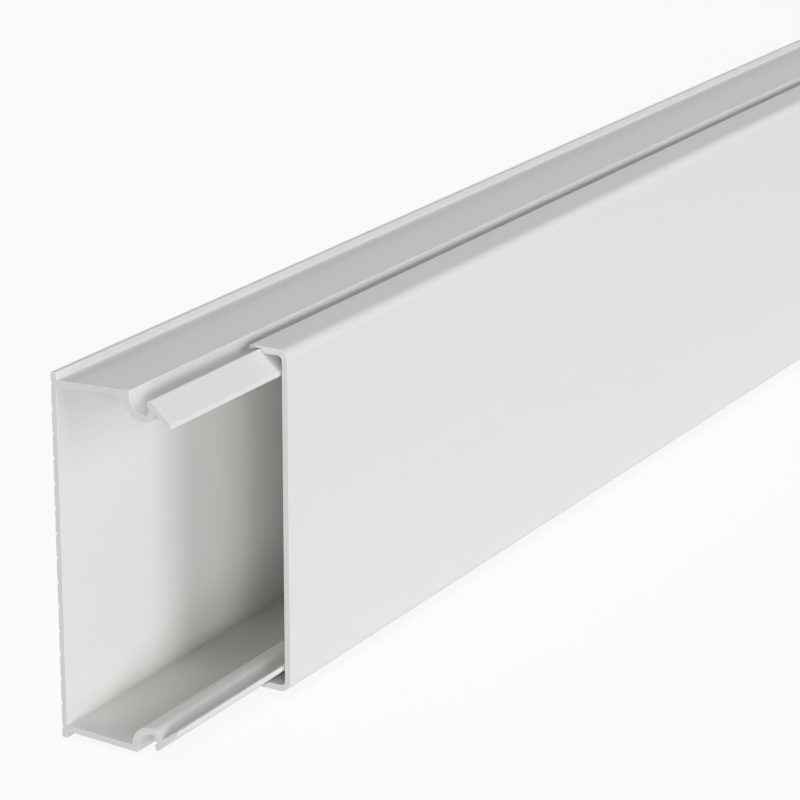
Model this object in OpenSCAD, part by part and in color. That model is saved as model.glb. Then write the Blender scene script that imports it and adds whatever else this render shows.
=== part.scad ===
// Wall trunking for cables: an extruded base channel and a snap-fit cover.
// The cover's hooked legs sit in two gutters along the base, so it slides lengthways.
// Sections are drawn with u, the depth from the wall forwards, and v, the height from mid-line.

/* [Stock] */
// Length in which the base and the cover are sold
stock_l = 2000; // [500:50:3000]
// How far the cover is slid back from the near end of the base
cover_setback = 52.5; // [0:0.5:400]

/* [Body] */
// Height across the side walls where they leave the back plate
body_h = 100; // [80:1:150]
// Depth from the wall to the front of the cover
body_d = 40.2; // [30:0.2:70]
// Back plate thickness
back_t = 1.65; // [1.2:0.05:2.4]
// Side wall and gutter thickness
wall_t = 1.8; // [1.3:0.05:2.2]
// Outward lean of the side walls, in degrees
wall_lean = 2.5; // [0:0.5:5]
// Fillet where the side walls meet the back plate
root_r = 0.8; // [0.3:0.1:1.5]

/* [Edge lips] */
// How far the back plate stands out past each side wall
lip_out = 2.1; // [1.6:0.1:4]
// Rounding of the lip's edges
lip_edge_r = 0.3; // [0.1:0.05:0.5]

/* [Wall grooves] */
// Spacing of the grooves in the wall side of the back plate
groove_pitch = 7; // [4:0.5:15]
// Width of a groove at the surface
groove_w = 1.4; // [0.6:0.1:2]
// Depth of a groove
groove_depth = 0.35; // [0.2:0.05:0.6]

/* [Gutter] */
// Distance from the front of the cover back to the gutter's back face
gutter_inset = 15.3; // [14.6:0.1:18]
// Clear mouth of the gutter, from its back face to the barb
gutter_mouth = 5.5; // [5.1:0.1:6]
// Depth of the gutter below the rim of the side wall
gutter_depth = 6.1; // [5.8:0.1:7]
// Radius of the gutter's floor
gutter_r = 4.6; // [3.6:0.1:4.7]
// Straight stretch between the side wall and the gutter's outer bend
bend_land = 0.2; // [0.1:0.05:0.5]
// Rounding of the side wall's rim
rim_r = 0.3; // [0.1:0.05:0.6]

/* [Retaining lip] */
// How far the lip's crown lies below the rim of the side wall
crown_drop = 1.85; // [1.6:0.05:2.1]
// Flat width of the crown
crown_w = 0.7; // [0.5:0.05:1]
// Width of the lead-in slope behind the crown
lead_in_w = 0.35; // [0.2:0.05:0.5]
// Height of the lead-in slope behind the crown
lead_in_h = 1.1; // [0.9:0.05:1.2]
// Height of the barb's blunt nose
barb_land = 0.4; // [0.3:0.05:0.6]
// How far the barb stands out over its undercut
barb_out = 0.65; // [0.5:0.05:0.8]
// How far the foot of the stem stands in under the barb
stem_foot_in = 0.2; // [0:0.05:0.4]
// Distance from the foot of the stem forwards to the heel of the gutter
heel_out = 0.65; // [0.4:0.05:1]
// Slope of the stem's front face, in degrees
stem_slope = 52; // [48:1:58]
// Rounding of the heel
heel_r = 1.8; // [1:0.1:2]

/* [Flange] */
// Fall of the flange's outer face, in degrees
flange_fall = 40.5; // [38:0.5:43]
// Fall of the flange's inner face, in degrees
flange_under_fall = 35; // [33:0.5:38]
// Height of the flange's blunt end
flange_tip_h = 1.55; // [1.2:0.05:1.9]
// Gap between the flange's end and the inside of the cover
flange_gap = 0.7; // [0.4:0.1:1.4]
// Rounding of sharp edges in the base's snap section
edge_r = 0.15; // [0.05:0.05:0.2]

/* [Cover] */
// Cover wall thickness
cover_t = 1.8; // [1.4:0.05:2.2]
// Inside radius of the cover's long corners
corner_r = 1.4; // [0.6:0.1:2.5]
// Wall left over the retaining lip
web_t = 0.65; // [0.5:0.05:1.1]
// Clearance at which the cover rides on the retaining lip
slide_fit = 0.2; // [0.15:0.05:0.3]
// Thickness of the hooked leg
leg_t = 2; // [1.6:0.1:2.4]
// Gap between the leg and the barb
leg_gap = 0.5; // [0.4:0.05:0.7]
// Gap between the leg's end and the gutter's floor
leg_floor_gap = 1; // [0.8:0.05:1.4]
// Rounding of the leg's outer corner
leg_corner_r = 0.9; // [0.4:0.1:1.2]
// How far the hook catches under the barb
hook_catch = 0.35; // [0.2:0.05:0.4]
// Height of the hook's nose above the leg's end
hook_rise = 0.95; // [0.8:0.05:1.05]
// Height of the hook's sloping catch face
catch_h = 0.6; // [0.4:0.05:0.8]
// Flat width of the leg's end
leg_end_w = 1.6; // [1:0.1:1.6]
// Rounding of small edges on the leg
leg_edge_r = 0.2; // [0.05:0.05:0.25]

/* [Hidden] */
$fn = 64;
pvc_white = [0.9, 0.9, 0.885];
// How far a corner's cut or fill runs past the corner's sides, and how far its circle crosses them
past_sides = 0.05;
cross_by = 0.0005;

// Height of the side wall's outer and inner face at depth u
function wall_out(u) = body_h / 2 + (u - back_t) * tan(wall_lean);
function wall_in(u) = wall_out(u) - wall_t / cos(wall_lean);

// Base, from the wall forwards
lip_v = body_h / 2 + lip_out;
gutter_u = body_d - gutter_inset;
rim_v = wall_out(gutter_u);
floor_v = rim_v - gutter_depth;
heel_v = floor_v - wall_t;
bend_u = gutter_u - wall_t;
// The gutter's outer bend is limited by the side wall that it starts from
bend_r = min(gutter_r + wall_t, wall_in(bend_u) - heel_v - bend_land);

// Retaining lip, from the gutter's floor up and over the crown
barb_u = gutter_u + gutter_mouth;
stem_u = barb_u - stem_foot_in;
crown_v = rim_v - crown_drop;
crown_back_u = barb_u + lead_in_w;
crown_front_u = crown_back_u + crown_w;
barb_v = crown_v - lead_in_h;
barb_low_v = barb_v - barb_land;
heel_u = stem_u + heel_out;

// Flange, which falls from the crown towards the cover's front
flange_u = body_d - cover_t - flange_gap;
flange_v = crown_v - (flange_u - crown_front_u) * tan(flange_fall);
flange_low_v = flange_v - flange_tip_h;
notch_u = (flange_low_v + flange_u * tan(flange_under_fall) - heel_v + heel_u * tan(stem_slope))
    / (tan(stem_slope) + tan(flange_under_fall));
notch_v = heel_v + (notch_u - heel_u) * tan(stem_slope);

// Cover, seated over the crown with the sliding clearance
seat_v = crown_v + slide_fit;
seat_u = crown_front_u + slide_fit * tan(flange_fall / 2);
roof_v = seat_v + web_t;
roof_in_v = roof_v - cover_t;
seat_end_u = seat_u + (seat_v - roof_in_v) / tan(flange_fall);
leg_front_u = barb_u - leg_gap;
leg_back_u = leg_front_u - leg_t;
leg_end_v = floor_v + leg_floor_gap;
nose_u = barb_u + hook_catch;
nose_v = leg_end_v + hook_rise;

// Place of the whole part: the floor at zero, the box centred over the origin
near_x = -(stock_l + cover_setback) / 2;
wall_y = body_d / 2;
mid_z = lip_v;

// Upper half of the base's outline, clockwise: depth, height, corner radius
BASE_HALF = [
    [0, lip_v, lip_edge_r],
    [back_t, lip_v, lip_edge_r],
    [back_t, wall_out(back_t), root_r],
    [gutter_u, rim_v, rim_r],
    [gutter_u, floor_v, gutter_r],
    [stem_u, floor_v, edge_r],
    [barb_u + barb_out, barb_low_v - barb_out, edge_r],
    [barb_u, barb_low_v, edge_r],
    [barb_u, barb_v, edge_r],
    [crown_back_u, crown_v, edge_r],
    [crown_front_u, crown_v, edge_r],
    [flange_u, flange_v, edge_r],
    [flange_u, flange_low_v, edge_r],
    [notch_u, notch_v, edge_r],
    [heel_u, heel_v, heel_r],
    [bend_u, heel_v, bend_r],
    [bend_u, wall_in(bend_u), 0],
    [back_t, wall_in(back_t), root_r],
];

// Upper half of the cover's outline, clockwise: depth, height, corner radius
COVER_HALF = [
    [body_d - cover_t, roof_in_v, corner_r],
    [seat_end_u, roof_in_v, leg_edge_r],
    [seat_u, seat_v, leg_edge_r],
    [leg_front_u, seat_v, leg_edge_r],
    [leg_front_u, nose_v + catch_h, leg_edge_r],
    [nose_u, nose_v, leg_edge_r],
    [leg_back_u + leg_end_w, leg_end_v, leg_edge_r],
    [leg_back_u, leg_end_v, leg_edge_r],
    [leg_back_u, roof_v, leg_corner_r],
    [body_d, roof_v, corner_r + cover_t],
];

// Outline of the full section: the upper half and its mirror image below mid-line
function full(half) = concat(half, [for (i = [len(half) - 1:-1:0]) [half[i][0], -half[i][1], half[i][2]]]);

function unit(d) = d / norm(d);
function point(outline, i) = [outline[i][0], outline[i][1]];
// Directions from corner i to the corners before and after it
function back_way(outline, i) =
    unit(point(outline, (i + len(outline) - 1) % len(outline)) - point(outline, i));
function on_way(outline, i) = unit(point(outline, (i + 1) % len(outline)) - point(outline, i));
function is_outer(outline, i) = cross(back_way(outline, i), on_way(outline, i)) > 0;

// What lies between a corner with sides along a and b and the arc of radius r that rounds it.
// It runs past both sides, and its circle is a hair too large, so that they cross and don't just touch.
module corner_rest(corner, a, b, r) {
    half = acos(a * b) / 2;
    centre = corner + unit(a + b) * r / sin(half);
    reach = r / tan(half);
    grow = (r + past_sides) / r;
    translate(centre)
        difference() {
            polygon([
                [0, 0],
                grow * (corner + reach * a - centre),
                grow * (corner - centre),
                grow * (corner + reach * b - centre),
            ]);
            circle(r + cross_by);
        }
}

// The rests of an outline's outer corners, or of its inner ones
module corner_rests(outline, outer) {
    for (i = [0:len(outline) - 1])
        if (outline[i][2] > 0 && is_outer(outline, i) == outer)
            corner_rest(point(outline, i), on_way(outline, i), back_way(outline, i), outline[i][2]);
}

// A closed outline with each corner rounded by its own radius, or sharp where that is 0
module rounded(outline) {
    difference() {
        union() {
            polygon([for (i = [0:len(outline) - 1]) point(outline, i)]);
            corner_rests(outline, false);
        }
        corner_rests(outline, true);
    }
}

// V-grooves along the wall side of the back plate
module wall_grooves() {
    steps = floor((body_h - groove_w) / 2 / groove_pitch);
    for (i = [-steps:steps])
        translate([0, i * groove_pitch])
            polygon([
                [-groove_depth, -groove_w],
                [groove_depth, 0],
                [-groove_depth, groove_w],
            ]);
}

// Runs a section along the length from x, with the wall side to the back and the cover to the front
module extruded(x) {
    translate([x, wall_y, mid_z])
        rotate([90, 0, 90])
            linear_extrude(stock_l)
                mirror([1, 0])
                    children();
}

module trunking_base() {
    color(pvc_white)
        extruded(near_x)
            difference() {
                rounded(full(BASE_HALF));
                wall_grooves();
            }
}

module trunking_cover() {
    color(pvc_white)
        extruded(near_x + cover_setback)
            rounded(full(COVER_HALF));
}

trunking_base();
trunking_cover();
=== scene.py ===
"""Cable trunking: the extruded base channel and its snap-fit cover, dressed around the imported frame.

Sections are drawn with u, the depth from the wall forwards, and v, the height from mid-line.
Sizes of the pieces are in millimetres, and the scene is in metres.
"""

import logging
import math
from dataclasses import dataclass, field
from enum import Enum, IntEnum

import bmesh
import bpy
from mathutils import Matrix, Vector


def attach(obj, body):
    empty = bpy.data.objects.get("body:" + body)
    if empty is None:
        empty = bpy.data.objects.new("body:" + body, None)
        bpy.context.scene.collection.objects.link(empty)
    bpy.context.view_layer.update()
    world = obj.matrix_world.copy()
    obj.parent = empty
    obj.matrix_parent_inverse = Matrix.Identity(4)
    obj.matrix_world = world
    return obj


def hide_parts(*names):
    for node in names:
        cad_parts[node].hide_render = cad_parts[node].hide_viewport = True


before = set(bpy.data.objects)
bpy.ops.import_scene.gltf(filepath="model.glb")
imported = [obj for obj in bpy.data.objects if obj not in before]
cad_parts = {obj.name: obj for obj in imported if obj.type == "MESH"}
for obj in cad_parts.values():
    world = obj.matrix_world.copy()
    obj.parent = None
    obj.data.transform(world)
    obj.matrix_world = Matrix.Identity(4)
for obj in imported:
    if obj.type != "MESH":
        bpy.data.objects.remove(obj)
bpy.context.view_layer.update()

MM = 0.001
ROUND_PROFILE = 0.5
WHITE = (1.0, 1.0, 1.0, 1.0)

log = logging.getLogger("trunking")


class Body(Enum):
    """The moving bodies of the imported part."""

    BASE = "base"
    COVER = "cover"


class End(Enum):
    """The two sawn ends of a profile, by the direction that they face along X."""

    NEAR = -1.0
    FAR = 1.0


class Slot(Enum):
    """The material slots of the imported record."""

    WHITE_PVC = "white_pvc"


class ColourMix(IntEnum):
    """The colour sockets of a Mix node, by their places."""

    LOW = 6
    HIGH = 7
    RESULT = 2


@dataclass(frozen=True)
class Corner:
    """A corner of a section, in millimetres.

    Args:
        u: Depth from the wall forwards.
        v: Height from mid-line.
        r: Radius that rounds the corner, or 0 where it stays sharp.
    """

    u: float
    v: float
    r: float = 0.0

    def mirrored(self) -> "Corner":
        """Returns the same corner below mid-line."""
        return Corner(self.u, -self.v, self.r)


@dataclass
class Profile:
    """An extruded piece: a section in edit mode, rounded corner by corner and run along X.

    Args:
        name: Name of the finished piece.
        node: CAD node that the piece stands for.
        body: Body that it moves with.
        start_x: Where its near end lies, in millimetres.
        length: Stock length, in millimetres.
        wall_y: Where the wall lies, in millimetres.
        mid_z: Height of the mid-line over the floor, in millimetres.
        end_trim: Size of the deburred edge around a sawn end, in millimetres.
        large_radius: Radius from which an arc gets fine steps, in millimetres.
        fine_step: Turn of one step of a large arc, in degrees.
        coarse_step: Turn of one step of a small arc, in degrees.
        least_steps: Fewest steps of an arc.
        smooth_angle: Turn under which neighbouring faces shade as one, in degrees.
        end_facing: Share of a face's normal along X from which the face is a sawn end.
    """

    name: str
    node: str
    body: Body
    start_x: float
    length: float = 2000.0
    wall_y: float = 20.1
    mid_z: float = 52.1
    end_trim: float = 0.04
    large_radius: float = 1.0
    fine_step: float = 6.0
    coarse_step: float = 18.0
    least_steps: int = 3
    smooth_angle: float = 32.0
    end_facing: float = 0.99

    def section(self) -> list[Corner]:
        """Returns the corners of the whole section in order."""
        raise NotImplementedError

    def place(self, corner: Corner) -> Vector:
        """Places a corner of the section at the profile's near end.

        Args:
            corner: The corner to place.

        Returns:
            Its point in the part's frame, in metres.
        """
        return Vector((self.start_x + self.end_trim, self.wall_y - corner.u, self.mid_z + corner.v)) * MM

    def build(self) -> bpy.types.Object:
        """Draws the section, rounds it, runs it along X and trims its ends.

        Returns:
            The finished object, at the origin, with its place in its mesh.
        """
        piece = self.start_point()
        self.draw_outline()
        self.round_corners(piece)
        self.run_along()
        for end in End:
            self.trim_end(piece, end)
        bpy.ops.mesh.select_all(action="SELECT")
        bpy.ops.mesh.normals_make_consistent(inside=False)
        bpy.ops.object.mode_set(mode="OBJECT")
        self.smooth(piece)
        return piece

    def start_point(self) -> bpy.types.Object:
        """Adds a plane and merges it to one vertex at the section's first corner.

        Returns:
            The new object, in edit mode.
        """
        bpy.ops.object.select_all(action="DESELECT")
        bpy.ops.mesh.primitive_plane_add(size=MM)
        piece = bpy.context.active_object
        piece.name = self.name
        piece.data.name = self.name
        bpy.ops.object.mode_set(mode="EDIT")
        bpy.ops.mesh.select_mode(type="VERT")
        bpy.ops.mesh.select_all(action="SELECT")
        bpy.ops.mesh.merge(type="CENTER")
        bpy.ops.transform.translate(value=self.place(self.section()[0]))
        return piece

    def draw_outline(self) -> None:
        """Extrudes the vertex from corner to corner and fills the closed outline."""
        points = [self.place(corner) for corner in self.section()]
        for here, there in zip(points, points[1:]):
            bpy.ops.mesh.extrude_vertices_move(TRANSFORM_OT_translate={"value": there - here})
        bpy.ops.mesh.select_all(action="SELECT")
        bpy.ops.mesh.edge_face_add()

    def round_corners(self, piece: bpy.types.Object) -> None:
        """Bevels each corner's vertex into an arc of the corner's radius.

        Args:
            piece: The object whose outline is in edit mode.
        """
        corners = self.section()
        for i, corner in enumerate(corners):
            if corner.r <= 0:
                continue
            here = self.place(corner)
            back = (self.place(corners[i - 1]) - here).normalized()
            onward = (self.place(corners[(i + 1) % len(corners)]) - here).normalized()
            inner_angle = back.angle(onward)
            step = self.fine_step if corner.r >= self.large_radius else self.coarse_step
            self.select_vertex(piece, here)
            bpy.ops.mesh.bevel(
                affect="VERTICES",
                offset_type="OFFSET",
                offset=corner.r * MM / math.tan(inner_angle / 2),
                segments=max(self.least_steps, round(math.degrees(math.pi - inner_angle) / step)),
                profile=ROUND_PROFILE,
                clamp_overlap=False,
            )

    @staticmethod
    def select_vertex(piece: bpy.types.Object, point: Vector) -> None:
        """Selects only the vertex nearest to a point.

        Args:
            piece: The object in edit mode.
            point: The place to look at.
        """
        bpy.ops.mesh.select_all(action="DESELECT")
        mesh = bmesh.from_edit_mesh(piece.data)
        min(mesh.verts, key=lambda vertex: (vertex.co - point).length_squared).select = True
        mesh.select_flush_mode()
        bmesh.update_edit_mesh(piece.data)

    def run_along(self) -> None:
        """Extrudes the filled section along X to the stock length."""
        run = (self.length - 2 * self.end_trim) * MM
        bpy.ops.mesh.select_all(action="SELECT")
        bpy.ops.mesh.extrude_region_move(TRANSFORM_OT_translate={"value": (run, 0, 0)})
        bpy.ops.mesh.select_all(action="SELECT")
        bpy.ops.mesh.normals_make_consistent(inside=False)

    def trim_end(self, piece: bpy.types.Object, end: End) -> None:
        """Insets a sawn end and draws it out to the full length, which leaves its edge deburred.

        Args:
            piece: The object in edit mode.
            end: The end to trim.
        """
        bpy.ops.mesh.select_all(action="DESELECT")
        bpy.ops.mesh.select_mode(type="FACE")
        mesh = bmesh.from_edit_mesh(piece.data)
        for face in mesh.faces:
            face.select_set(face.normal.x * end.value > self.end_facing)
        bmesh.update_edit_mesh(piece.data)
        bpy.ops.mesh.inset(thickness=self.end_trim * MM, depth=self.end_trim * MM, use_even_offset=True)
        bpy.ops.mesh.select_mode(type="VERT")

    def smooth(self, piece: bpy.types.Object) -> None:
        """Shades the arcs smooth and keeps the flat faces flat.

        Args:
            piece: The finished object.
        """
        bpy.ops.object.shade_smooth_by_angle(angle=math.radians(self.smooth_angle))
        weigh = piece.modifiers.new("flat faces first", "WEIGHTED_NORMAL")
        weigh.keep_sharp = True
        bpy.ops.object.modifier_apply(modifier=weigh.name)

    def dress(self, piece: bpy.types.Object, material: bpy.types.Material) -> None:
        """Gives the piece its finish and hands it over to its body in place of its CAD node.

        Args:
            piece: The finished object.
            material: Its finish.
        """
        piece.data.materials.clear()
        piece.data.materials.append(material)
        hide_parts(self.node)
        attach(piece, self.body.value)
        log.info("%s: %d faces, for node %s", piece.name, len(piece.data.polygons), self.node)


@dataclass
class BaseChannel(Profile):
    """The base channel, with wall grooves, edge lips, leaning walls, gutters and retaining flanges.

    Args:
        body_h: Height over the side walls, at the back plate.
        body_d: Depth from the wall to the cover's front.
        back_t: Thickness of the back plate.
        wall_t: Thickness of the side walls.
        wall_lean: How far the side walls lean outwards, in degrees.
        root_r: Radius where a side wall meets the back plate.
        lip_out: How far the edge lips stand out past the side walls.
        lip_edge_r: Radius of the lips' edges.
        groove_pitch: Spacing of the grooves in the wall side.
        groove_w: Width of a groove.
        groove_depth: Depth of a groove.
        gutter_inset: Depth from the cover's front back to the gutter.
        gutter_mouth: Width of the gutter's mouth.
        gutter_depth: Depth of the gutter below the rim.
        gutter_r: Radius of the gutter's back corner.
        bend_land: Straight stretch left between the side wall and the gutter's outer bend.
        rim_r: Radius of the rim.
        crown_drop: How far the retaining lip's crown lies below the rim.
        crown_w: Width of the crown.
        lead_in_w: Width of the slope that leads a leg in.
        lead_in_h: Height of that slope.
        barb_land: Height of the barb's nose.
        barb_out: How far the lip is undercut below the barb.
        stem_foot_in: How far the lip's foot stands behind the barb's nose.
        heel_out: How far the heel under the gutter stands in front of that foot.
        stem_slope: Slope from the heel up to the flange, in degrees.
        heel_r: Radius of the heel.
        flange_fall: Slope of the flange's outer face, in degrees.
        flange_under_fall: Slope of its inner face, in degrees.
        flange_tip_h: Height of its front tip.
        flange_gap: Gap from the tip to the cover.
        edge_r: Radius of the small edges.
        cover_t: Thickness of the cover.
    """

    name: str = "base_profile"
    node: str = "trunking_base"
    body: Body = Body.BASE
    start_x: float = -1026.25
    body_h: float = 100.0
    body_d: float = 40.2
    back_t: float = 1.65
    wall_t: float = 1.8
    wall_lean: float = 2.5
    root_r: float = 0.8
    lip_out: float = 2.1
    lip_edge_r: float = 0.3
    groove_pitch: float = 7.0
    groove_w: float = 1.4
    groove_depth: float = 0.35
    gutter_inset: float = 15.3
    gutter_mouth: float = 5.5
    gutter_depth: float = 6.1
    gutter_r: float = 4.6
    bend_land: float = 0.2
    rim_r: float = 0.3
    crown_drop: float = 1.85
    crown_w: float = 0.7
    lead_in_w: float = 0.35
    lead_in_h: float = 1.1
    barb_land: float = 0.4
    barb_out: float = 0.65
    stem_foot_in: float = 0.2
    heel_out: float = 0.65
    stem_slope: float = 52.0
    heel_r: float = 1.8
    flange_fall: float = 40.5
    flange_under_fall: float = 35.0
    flange_tip_h: float = 1.55
    flange_gap: float = 0.7
    edge_r: float = 0.15
    cover_t: float = 1.8

    def wall_out(self, u: float) -> float:
        """Returns the height of the side wall's outer face at depth u."""
        return self.body_h / 2 + (u - self.back_t) * math.tan(math.radians(self.wall_lean))

    def wall_in(self, u: float) -> float:
        """Returns the height of the side wall's inner face at depth u."""
        return self.wall_out(u) - self.wall_t / math.cos(math.radians(self.wall_lean))

    @property
    def gutter_u(self) -> float:
        """Depth of the gutter's back face."""
        return self.body_d - self.gutter_inset

    @property
    def rim_v(self) -> float:
        """Height of the side wall's rim."""
        return self.wall_out(self.gutter_u)

    @property
    def floor_v(self) -> float:
        """Height of the gutter's floor."""
        return self.rim_v - self.gutter_depth

    @property
    def barb_u(self) -> float:
        """Depth of the barb's nose."""
        return self.gutter_u + self.gutter_mouth

    @property
    def crown_v(self) -> float:
        """Height of the retaining lip's crown."""
        return self.rim_v - self.crown_drop

    @property
    def crown_front_u(self) -> float:
        """Depth of the crown's front edge."""
        return self.barb_u + self.lead_in_w + self.crown_w

    def grooves(self) -> list[Corner]:
        """Returns the corners of the V-grooves in the wall side, from the bottom up."""
        steps = math.floor((self.body_h - self.groove_w) / 2 / self.groove_pitch)
        half = self.groove_w / 2
        corners = []
        for i in range(-steps, steps + 1):
            middle = i * self.groove_pitch
            corners += [
                Corner(0, middle - half),
                Corner(self.groove_depth, middle),
                Corner(0, middle + half),
            ]
        return corners

    def gutter(self) -> list[Corner]:
        """Returns the corners of the upper gutter and its flange, from the rim round to the inside."""
        stem_u = self.barb_u - self.stem_foot_in
        heel_u, heel_v = stem_u + self.heel_out, self.floor_v - self.wall_t
        barb_v = self.crown_v - self.lead_in_h
        barb_low_v = barb_v - self.barb_land
        rise = math.tan(math.radians(self.stem_slope))
        fall = math.tan(math.radians(self.flange_under_fall))
        outer_fall = math.tan(math.radians(self.flange_fall))
        flange_u = self.body_d - self.cover_t - self.flange_gap
        flange_v = self.crown_v - (flange_u - self.crown_front_u) * outer_fall
        flange_low_v = flange_v - self.flange_tip_h
        notch_u = (flange_low_v + flange_u * fall - heel_v + heel_u * rise) / (rise + fall)
        bend_u = self.gutter_u - self.wall_t
        bend_r = min(self.gutter_r + self.wall_t, self.wall_in(bend_u) - heel_v - self.bend_land)
        return [
            Corner(self.gutter_u, self.rim_v, self.rim_r),
            Corner(self.gutter_u, self.floor_v, self.gutter_r),
            Corner(stem_u, self.floor_v, self.edge_r),
            Corner(self.barb_u + self.barb_out, barb_low_v - self.barb_out, self.edge_r),
            Corner(self.barb_u, barb_low_v, self.edge_r),
            Corner(self.barb_u, barb_v, self.edge_r),
            Corner(self.barb_u + self.lead_in_w, self.crown_v, self.edge_r),
            Corner(self.crown_front_u, self.crown_v, self.edge_r),
            Corner(flange_u, flange_v, self.edge_r),
            Corner(flange_u, flange_low_v, self.edge_r),
            Corner(notch_u, heel_v + (notch_u - heel_u) * rise, self.edge_r),
            Corner(heel_u, heel_v, self.heel_r),
            Corner(bend_u, heel_v, bend_r),
            Corner(bend_u, self.wall_in(bend_u)),
        ]

    def section(self) -> list[Corner]:
        """Returns the corners of the whole section in order."""
        lip_v = self.body_h / 2 + self.lip_out
        upper = [
            Corner(0, lip_v, self.lip_edge_r),
            Corner(self.back_t, lip_v, self.lip_edge_r),
            Corner(self.back_t, self.wall_out(self.back_t), self.root_r),
            *self.gutter(),
            Corner(self.back_t, self.wall_in(self.back_t), self.root_r),
        ]
        return upper + [corner.mirrored() for corner in reversed(upper)] + self.grooves()


@dataclass
class SnapCover(Profile):
    """The cover, with a flat front, round long corners and a hooked leg in each gutter.

    Args:
        base: The base that it sits on, which gives the places of its fits.
        corner_r: Inner radius of the long corners.
        web_t: Thickness of the return where it passes over the crown.
        slide_fit: Room between the return and the crown.
        leg_t: Thickness of a leg.
        leg_gap: Room between a leg and the barb.
        leg_floor_gap: Room between a leg's end and the gutter's floor.
        leg_corner_r: Radius where a return turns into its leg.
        hook_catch: How far the hook reaches under the barb.
        hook_rise: Height of the hook's nose above the leg's end.
        catch_h: Height of the slope above the hook's nose.
        leg_end_w: Width of the leg's end.
        leg_edge_r: Radius of the leg's edges.
    """

    name: str = "cover_profile"
    node: str = "trunking_cover"
    body: Body = Body.COVER
    start_x: float = -973.75
    base: BaseChannel = field(default_factory=BaseChannel)
    corner_r: float = 1.4
    web_t: float = 0.65
    slide_fit: float = 0.2
    leg_t: float = 2.0
    leg_gap: float = 0.5
    leg_floor_gap: float = 1.0
    leg_corner_r: float = 0.9
    hook_catch: float = 0.35
    hook_rise: float = 0.95
    catch_h: float = 0.6
    leg_end_w: float = 1.6
    leg_edge_r: float = 0.2

    def section(self) -> list[Corner]:
        """Returns the corners of the whole section in order."""
        base = self.base
        fall = math.radians(base.flange_fall)
        seat_v = base.crown_v + self.slide_fit
        seat_u = base.crown_front_u + self.slide_fit * math.tan(fall / 2)
        roof_v = seat_v + self.web_t
        roof_in_v = roof_v - base.cover_t
        leg_front_u = base.barb_u - self.leg_gap
        leg_back_u = leg_front_u - self.leg_t
        leg_end_v = base.floor_v + self.leg_floor_gap
        nose_v = leg_end_v + self.hook_rise
        upper = [
            Corner(base.body_d - base.cover_t, roof_in_v, self.corner_r),
            Corner(seat_u + (seat_v - roof_in_v) / math.tan(fall), roof_in_v, self.leg_edge_r),
            Corner(seat_u, seat_v, self.leg_edge_r),
            Corner(leg_front_u, seat_v, self.leg_edge_r),
            Corner(leg_front_u, nose_v + self.catch_h, self.leg_edge_r),
            Corner(base.barb_u + self.hook_catch, nose_v, self.leg_edge_r),
            Corner(leg_back_u + self.leg_end_w, leg_end_v, self.leg_edge_r),
            Corner(leg_back_u, leg_end_v, self.leg_edge_r),
            Corner(leg_back_u, roof_v, self.leg_corner_r),
            Corner(base.body_d, roof_v, self.corner_r + base.cover_t),
        ]
        return upper + [corner.mirrored() for corner in reversed(upper)]


@dataclass(frozen=True)
class Wiring:
    """Adds and links shader nodes in one tree.

    Args:
        tree: The node tree to work in.
    """

    tree: bpy.types.NodeTree

    def node(
        self,
        kind: str,
        inputs: dict[str | int, object] | None = None,
        **settings: object,
    ) -> bpy.types.Node:
        """Adds a node.

        Args:
            kind: The node's type.
            inputs: Values of its input sockets by name or place; a socket there is linked.
            settings: Values of its properties.

        Returns:
            The new node.
        """
        made = self.tree.nodes.new(kind)
        for key, value in settings.items():
            setattr(made, key, value)
        for key, value in (inputs or {}).items():
            if isinstance(value, bpy.types.NodeSocket):
                self.tree.links.new(value, made.inputs[key])
            else:
                made.inputs[key].default_value = value
        return made

    def mix(self, share: object, low: object, high: object) -> bpy.types.NodeSocket:
        """Mixes two values by a share.

        Args:
            share: Share of the high value.
            low: Value at share 0.
            high: Value at share 1.

        Returns:
            The mixed value.
        """
        made = self.node("ShaderNodeMapRange", {"Value": share, "To Min": low, "To Max": high})
        return made.outputs["Result"]

    def blend(self, share: object, low: object, high: object) -> bpy.types.NodeSocket:
        """Mixes two colours by a share.

        Args:
            share: Share of the high colour.
            low: Colour at share 0.
            high: Colour at share 1.

        Returns:
            The mixed colour.
        """
        made = self.node(
            "ShaderNodeMix",
            {"Factor": share, ColourMix.LOW: low, ColourMix.HIGH: high},
            data_type="RGBA",
        )
        return made.outputs[ColourMix.RESULT]


class SurfaceEffect(Enum):
    """The shared effects of extruded and sawn plastic."""

    DIE_LINES = "die_lines"
    SAWN_END = "sawn_end"
    SOFT_MOTTLE = "soft_mottle"


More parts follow.
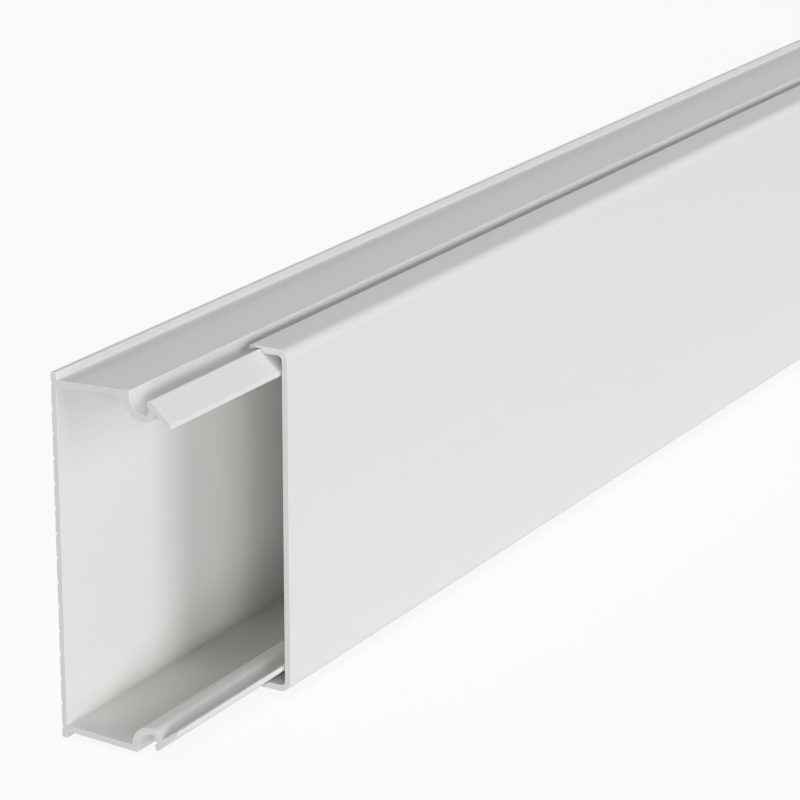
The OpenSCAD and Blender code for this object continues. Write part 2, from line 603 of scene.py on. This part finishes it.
@dataclass(frozen=True)
class EffectGroups:
    """Builds the shared effects as node groups, each of them once.

    Args:
        line_stretch: How slowly die lines change along the length, per metre.
        streak_density: Density of the broad streaks, as a share of the lines'.
        band_turns: Turns of the saw-mark wave per metre.
        sawn_from: Share of a normal along the length at which a face starts to look sawn.
        sawn_full: Share at which it looks fully sawn.
    """

    line_stretch: float = 1.2
    streak_density: float = 0.12
    band_turns: float = 210.0
    sawn_from: float = 0.75
    sawn_full: float = 0.95

    def start(self, effect: SurfaceEffect, inputs: dict[str, str], outputs: dict[str, str]) -> Wiring:
        """Starts a group with its sockets.

        Args:
            effect: The effect that the group is for.
            inputs: Socket types of its inputs by name.
            outputs: Socket types of its outputs by name.

        Returns:
            The wiring of the new group.
        """
        tree = bpy.data.node_groups.new(effect.value, "ShaderNodeTree")
        for name, kind in inputs.items():
            tree.interface.new_socket(name=name, in_out="INPUT", socket_type=kind)
        for name, kind in outputs.items():
            tree.interface.new_socket(name=name, in_out="OUTPUT", socket_type=kind)
        return Wiring(tree)

    def die_lines(self) -> bpy.types.NodeTree:
        """Builds faint lines that the die leaves along the length.

        Returns:
            The group, with a height and a streak mask.
        """
        wiring = self.start(
            SurfaceEffect.DIE_LINES,
            {"Vector": "NodeSocketVector", "Density": "NodeSocketFloat"},
            {"Height": "NodeSocketFloat", "Streak": "NodeSocketFloat"},
        )
        given = wiring.node("NodeGroupInput")
        density = given.outputs["Density"]
        across = wiring.node(
            "ShaderNodeCombineXYZ",
            {"X": self.line_stretch, "Y": density, "Z": density},
        )
        spread = wiring.node(
            "ShaderNodeVectorMath",
            {0: given.outputs["Vector"], 1: across.outputs["Vector"]},
            operation="MULTIPLY",
        )
        fine = wiring.node(
            "ShaderNodeTexNoise",
            {"Vector": spread.outputs["Vector"], "Scale": 1.0, "Detail": 3.0, "Roughness": 0.6},
        )
        broad = wiring.node(
            "ShaderNodeTexNoise",
            {
                "Vector": spread.outputs["Vector"],
                "Scale": self.streak_density,
                "Detail": 2.0,
                "Roughness": 0.5,
            },
        )
        result = wiring.node("NodeGroupOutput")
        wiring.tree.links.new(fine.outputs["Fac"], result.inputs["Height"])
        wiring.tree.links.new(broad.outputs["Fac"], result.inputs["Streak"])
        return wiring.tree

    def sawn_end(self) -> bpy.types.NodeTree:
        """Builds the marks of a fine saw on the faces across the length.

        Returns:
            The group, with a mask of the sawn faces and their height.
        """
        wiring = self.start(
            SurfaceEffect.SAWN_END,
            {"Vector": "NodeSocketVector", "Normal": "NodeSocketVector"},
            {"Mask": "NodeSocketFloat", "Height": "NodeSocketFloat"},
        )
        given = wiring.node("NodeGroupInput")
        parts = wiring.node("ShaderNodeSeparateXYZ", {"Vector": given.outputs["Normal"]})
        facing = wiring.node("ShaderNodeMath", {0: parts.outputs["X"]}, operation="ABSOLUTE")
        mask = wiring.node(
            "ShaderNodeMapRange",
            {
                "Value": facing.outputs["Value"],
                "From Min": self.sawn_from,
                "From Max": self.sawn_full,
            },
            interpolation_type="SMOOTHSTEP",
        )
        marks = wiring.node(
            "ShaderNodeTexWave",
            {
                "Vector": given.outputs["Vector"],
                "Scale": self.band_turns,
                "Distortion": 2.5,
                "Detail": 2.0,
                "Detail Scale": 1.5,
            },
            wave_type="BANDS",
            bands_direction="Y",
        )
        result = wiring.node("NodeGroupOutput")
        wiring.tree.links.new(mask.outputs["Result"], result.inputs["Mask"])
        wiring.tree.links.new(marks.outputs["Fac"], result.inputs["Height"])
        return wiring.tree

    def soft_mottle(self) -> bpy.types.NodeTree:
        """Builds the soft unevenness of a satin surface.

        Returns:
            The group, with one mask.
        """
        wiring = self.start(
            SurfaceEffect.SOFT_MOTTLE,
            {"Vector": "NodeSocketVector", "Scale": "NodeSocketFloat"},
            {"Mask": "NodeSocketFloat"},
        )
        given = wiring.node("NodeGroupInput")
        cloud = wiring.node(
            "ShaderNodeTexNoise",
            {
                "Vector": given.outputs["Vector"],
                "Scale": given.outputs["Scale"],
                "Detail": 4.0,
                "Roughness": 0.55,
            },
        )
        result = wiring.node("NodeGroupOutput")
        wiring.tree.links.new(cloud.outputs["Fac"], result.inputs["Mask"])
        return wiring.tree

    def build(self) -> dict[SurfaceEffect, bpy.types.NodeTree]:
        """Returns every group by its effect."""
        return {
            SurfaceEffect.DIE_LINES: self.die_lines(),
            SurfaceEffect.SAWN_END: self.sawn_end(),
            SurfaceEffect.SOFT_MOTTLE: self.soft_mottle(),
        }


@dataclass(frozen=True)
class SatinPvc:
    """Smooth white PVC as it leaves the die, with sawn ends.

    Args:
        name: Name of the finish.
        light: Colour where the plastic is palest.
        deep: Colour in its faint streaks.
        sawn: Colour of a sawn end; how far it sits below the skin's colour is painted shade on the faces
            along the length.
        smooth_roughness: Roughness where the die polished it most.
        dull_roughness: Roughness where it is dullest.
        sawn_roughness: Roughness of a sawn end.
        line_density: Die lines per metre across the length.
        mottle_scale: Scale of the satin's unevenness, per metre.
        relief: Height of the die lines and the saw marks, in metres.
        relief_share: Share of that height that the shading shows.
        index: Index of refraction.
        gloss: Level of the reflection, where 0.5 is a polished surface.
    """

    name: str
    light: tuple[float, float, float, float] = (0.75, 0.75, 0.724, 1.0)
    deep: tuple[float, float, float, float] = (0.735, 0.735, 0.707, 1.0)
    # Painted shade: the sawn ends' colour is set darker than the skin to stand in for the dimmer light on
    # them.
    sawn: tuple[float, float, float, float] = (0.585, 0.585, 0.568, 1.0)
    smooth_roughness: float = 0.48
    dull_roughness: float = 0.58
    sawn_roughness: float = 0.65
    line_density: float = 700.0
    mottle_scale: float = 60.0
    relief: float = 0.000018
    relief_share: float = 0.5
    index: float = 1.54
    gloss: float = 0.2

    def make(self, groups: dict[SurfaceEffect, bpy.types.NodeTree]) -> bpy.types.Material:
        """Builds the material from the shared effects.

        Args:
            groups: The effect groups by effect.

        Returns:
            The finished material.
        """
        material = bpy.data.materials.new(self.name)
        material.use_nodes = True
        material.node_tree.nodes.clear()
        wiring = Wiring(material.node_tree)
        place = wiring.node("ShaderNodeTexCoord")
        lines = wiring.node("ShaderNodeGroup", {}, node_tree=groups[SurfaceEffect.DIE_LINES])
        sawn = wiring.node("ShaderNodeGroup", {}, node_tree=groups[SurfaceEffect.SAWN_END])
        mottle = wiring.node("ShaderNodeGroup", {}, node_tree=groups[SurfaceEffect.SOFT_MOTTLE])
        for group in (lines, sawn, mottle):
            wiring.tree.links.new(place.outputs["Object"], group.inputs["Vector"])
        wiring.tree.links.new(place.outputs["Normal"], sawn.inputs["Normal"])
        lines.inputs["Density"].default_value = self.line_density
        mottle.inputs["Scale"].default_value = self.mottle_scale

        mask = sawn.outputs["Mask"]
        skin = wiring.blend(lines.outputs["Streak"], self.deep, self.light)
        # Painted shade: faces that face along the length take the darker sawn colour in place of the skin's.
        colour = wiring.blend(mask, skin, self.sawn)
        satin = wiring.mix(mottle.outputs["Mask"], self.smooth_roughness, self.dull_roughness)
        roughness = wiring.mix(mask, satin, self.sawn_roughness)
        height = wiring.mix(mask, lines.outputs["Height"], sawn.outputs["Height"])
        bump = wiring.node(
            "ShaderNodeBump",
            {"Height": height, "Strength": self.relief_share, "Distance": self.relief},
        )

        shader = wiring.node(
            "ShaderNodeBsdfPrincipled",
            {
                "Base Color": colour,
                "Roughness": roughness,
                "Normal": bump.outputs["Normal"],
                "IOR": self.index,
                "Specular IOR Level": self.gloss,
            },
        )
        result = wiring.node("ShaderNodeOutputMaterial")
        wiring.tree.links.new(shader.outputs["BSDF"], result.inputs["Surface"])
        return material


@dataclass(frozen=True)
class Studio:
    """A white floor and an even soft light.

    The floor is like a light table: lamps that stand below it shine through.

    Args:
        floor_size: Side of the floor, in metres.
        floor_white: Share of plain white in the floor that is seen; the rest shows light and shadow.
        floor_colour: Colour of that rest.
        floor_bounce: Colour that the floor throws back on the object.
        dome: Colour of the even light from all round.
        dome_strength: Strength of that light.
    """

    floor_size: float = 60.0
    floor_white: float = 0.9
    floor_colour: tuple[float, float, float, float] = (0.95, 0.95, 0.945, 1.0)
    floor_bounce: tuple[float, float, float, float] = (0.6, 0.6, 0.595, 1.0)
    dome: tuple[float, float, float, float] = (1.0, 1.0, 0.985, 1.0)
    dome_strength: float = 0.05

    def seen_directly(self, wiring: Wiring) -> bpy.types.NodeSocket:
        """Builds the share of rays that show the background: camera, glossy and transmission rays.

        Args:
            wiring: The tree to work in.

        Returns:
            One for such a ray, and zero for any other.
        """
        path = wiring.node("ShaderNodeLightPath")
        first = wiring.node(
            "ShaderNodeMath",
            {0: path.outputs["Is Camera Ray"], 1: path.outputs["Is Glossy Ray"]},
            operation="MAXIMUM",
        )
        both = wiring.node(
            "ShaderNodeMath",
            {0: first.outputs["Value"], 1: path.outputs["Is Transmission Ray"]},
            operation="MAXIMUM",
        )
        return both.outputs["Value"]

    def build_floor(self) -> None:
        """Adds the floor, white to the camera, with a trace of shadow."""
        bpy.ops.object.select_all(action="DESELECT")
        bpy.ops.mesh.primitive_plane_add(size=self.floor_size)
        floor = bpy.context.active_object
        floor.name = "floor"
        material = bpy.data.materials.new("white_floor")
        material.use_nodes = True
        material.node_tree.nodes.clear()
        wiring = Wiring(material.node_tree)
        seen = self.seen_directly(wiring)
        tint = wiring.blend(seen, self.floor_bounce, self.floor_colour)
        matt = wiring.node("ShaderNodeBsdfDiffuse", {"Color": tint})
        white = wiring.node("ShaderNodeEmission", {"Color": WHITE, "Strength": 1.0})
        share = wiring.node(
            "ShaderNodeMath",
            {0: seen, 1: self.floor_white},
            operation="MULTIPLY",
        )
        mixed = wiring.node(
            "ShaderNodeMixShader",
            {0: share.outputs["Value"], 1: matt.outputs["BSDF"], 2: white.outputs["Emission"]},
        )
        result = wiring.node("ShaderNodeOutputMaterial")
        wiring.tree.links.new(mixed.outputs["Shader"], result.inputs["Surface"])
        floor.data.materials.append(material)
        floor.visible_shadow = False

    def build_dome(self) -> None:
        """Sets the world: white where it is seen, and an even soft light elsewhere."""
        world = bpy.data.worlds.new("studio_dome")
        bpy.context.scene.world = world
        world.use_nodes = True
        world.node_tree.nodes.clear()
        wiring = Wiring(world.node_tree)
        light = wiring.node("ShaderNodeBackground", {"Color": self.dome, "Strength": self.dome_strength})
        white = wiring.node("ShaderNodeBackground", {"Color": WHITE, "Strength": 1.0})
        seen = self.seen_directly(wiring)
        mixed = wiring.node(
            "ShaderNodeMixShader",
            {0: seen, 1: light.outputs["Background"], 2: white.outputs["Background"]},
        )
        result = wiring.node("ShaderNodeOutputWorld")
        wiring.tree.links.new(mixed.outputs["Shader"], result.inputs["Surface"])

    def build(self) -> None:
        """Builds the floor and the dome, and sets the plain view transform."""
        self.build_floor()
        self.build_dome()
        bpy.context.scene.view_settings.view_transform = "Standard"
        log.info("studio: floor and dome")


@dataclass(frozen=True)
class Softbox:
    """A rectangular soft light, aimed at the near end of the trunking.

    Args:
        name: Name of the light.
        azimuth: Side that it stands on, in degrees: 0 in front, positive to the left.
        elevation: Height above the horizon, in degrees; below it, light comes up through the floor.
        width: Its width as the near end sees it, in degrees.
        height: Its height as the near end sees it, in degrees.
        strength: Strength on a face square to it; 1 shows a white face as white.
        distance: Distance from the near end, in metres.
        target: The point that it is aimed at, in metres.
        colour: Colour of its light.
    """

    name: str
    azimuth: float
    elevation: float
    width: float
    height: float
    strength: float
    distance: float
    target: tuple[float, float, float] = (-0.9, 0.0, 0.05)
    colour: tuple[float, float, float] = (0.995, 0.995, 1.02)

    def build(self) -> None:
        """Adds the light."""
        azimuth, elevation = math.radians(self.azimuth), math.radians(self.elevation)
        towards = Vector((
            -math.sin(azimuth) * math.cos(elevation),
            -math.cos(azimuth) * math.cos(elevation),
            math.sin(elevation),
        ))
        bpy.ops.object.light_add(type="AREA", location=Vector(self.target) + towards * self.distance)
        lamp = bpy.context.active_object
        lamp.name = self.name
        lamp.rotation_mode = "QUATERNION"
        lamp.rotation_quaternion = towards.to_track_quat("Z", "Y")
        lamp.data.shape = "RECTANGLE"
        lamp.data.size = 2 * self.distance * math.tan(math.radians(self.width / 2))
        lamp.data.size_y = 2 * self.distance * math.tan(math.radians(self.height / 2))
        lamp.data.energy = self.strength * (math.pi * self.distance) ** 2
        lamp.data.color = self.colour
        log.info("light %s", self.name)


@dataclass(frozen=True)
class PhotoCamera:
    """The camera at the photograph's viewing angle.

    Args:
        eye: Where it stands, in metres.
        right: Direction to the right of the picture.
        up: Direction to the top of the picture.
        lens: Focal length, in millimetres.
        sensor: Width of the frame behind the lens, in millimetres.
        reach: Nearest and farthest distance that it sees, in metres.
    """

    eye: tuple[float, float, float] = (-1.68175, -0.4666, 0.3635)
    right: tuple[float, float, float] = (0.5028, -0.8644, 0.0016)
    up: tuple[float, float, float] = (0.2694, 0.1585, 0.9499)
    lens: float = 146.4
    sensor: float = 36.0
    reach: tuple[float, float] = (0.01, 100.0)

    def build(self) -> None:
        """Adds the camera and makes it the scene's."""
        right, up = Vector(self.right).normalized(), Vector(self.up).normalized()
        back = right.cross(up).normalized()
        turn = Matrix((right, back.cross(right), back)).transposed()
        bpy.ops.object.camera_add()
        camera = bpy.context.active_object
        camera.name = "photo_camera"
        camera.matrix_world = Matrix.Translation(self.eye) @ turn.to_4x4()
        camera.data.sensor_width = self.sensor
        camera.data.lens = self.lens
        camera.data.clip_start, camera.data.clip_end = self.reach
        bpy.context.scene.camera = camera
        log.info("camera placed")


def main() -> None:
    """Builds the pieces, their finishes, the studio and the camera."""
    logging.basicConfig(level=logging.INFO, format="%(name)s: %(message)s")
    PhotoCamera().build()
    groups = EffectGroups().build()
    finish = SatinPvc("white_satin_pvc").make(groups)
    base = BaseChannel()
    for profile in (base, SnapCover(base=base)):
        profile.dress(profile.build(), finish)
    Studio().build()
    for light in (
        Softbox("left_softbox", azimuth=61, elevation=-3, width=32, height=22, strength=0.65, distance=13),
        Softbox("corner_softbox", azimuth=42, elevation=7, width=16, height=10, strength=0.21, distance=13),
        Softbox("front_softbox", azimuth=0, elevation=14, width=30, height=36, strength=0.395, distance=13),
        Softbox("end_softbox", azimuth=85, elevation=62, width=24, height=20, strength=0.13, distance=5),
        Softbox("top_softbox", azimuth=0, elevation=84, width=36, height=12, strength=0.25, distance=4),
        Softbox("back_softbox", azimuth=180, elevation=14, width=60, height=24, strength=0.54, distance=6),
        Softbox("right_softbox", azimuth=-110, elevation=-18, width=24, height=16, strength=0.25, distance=6),
    ):
        light.build()


if __name__ == "__main__":
    main()
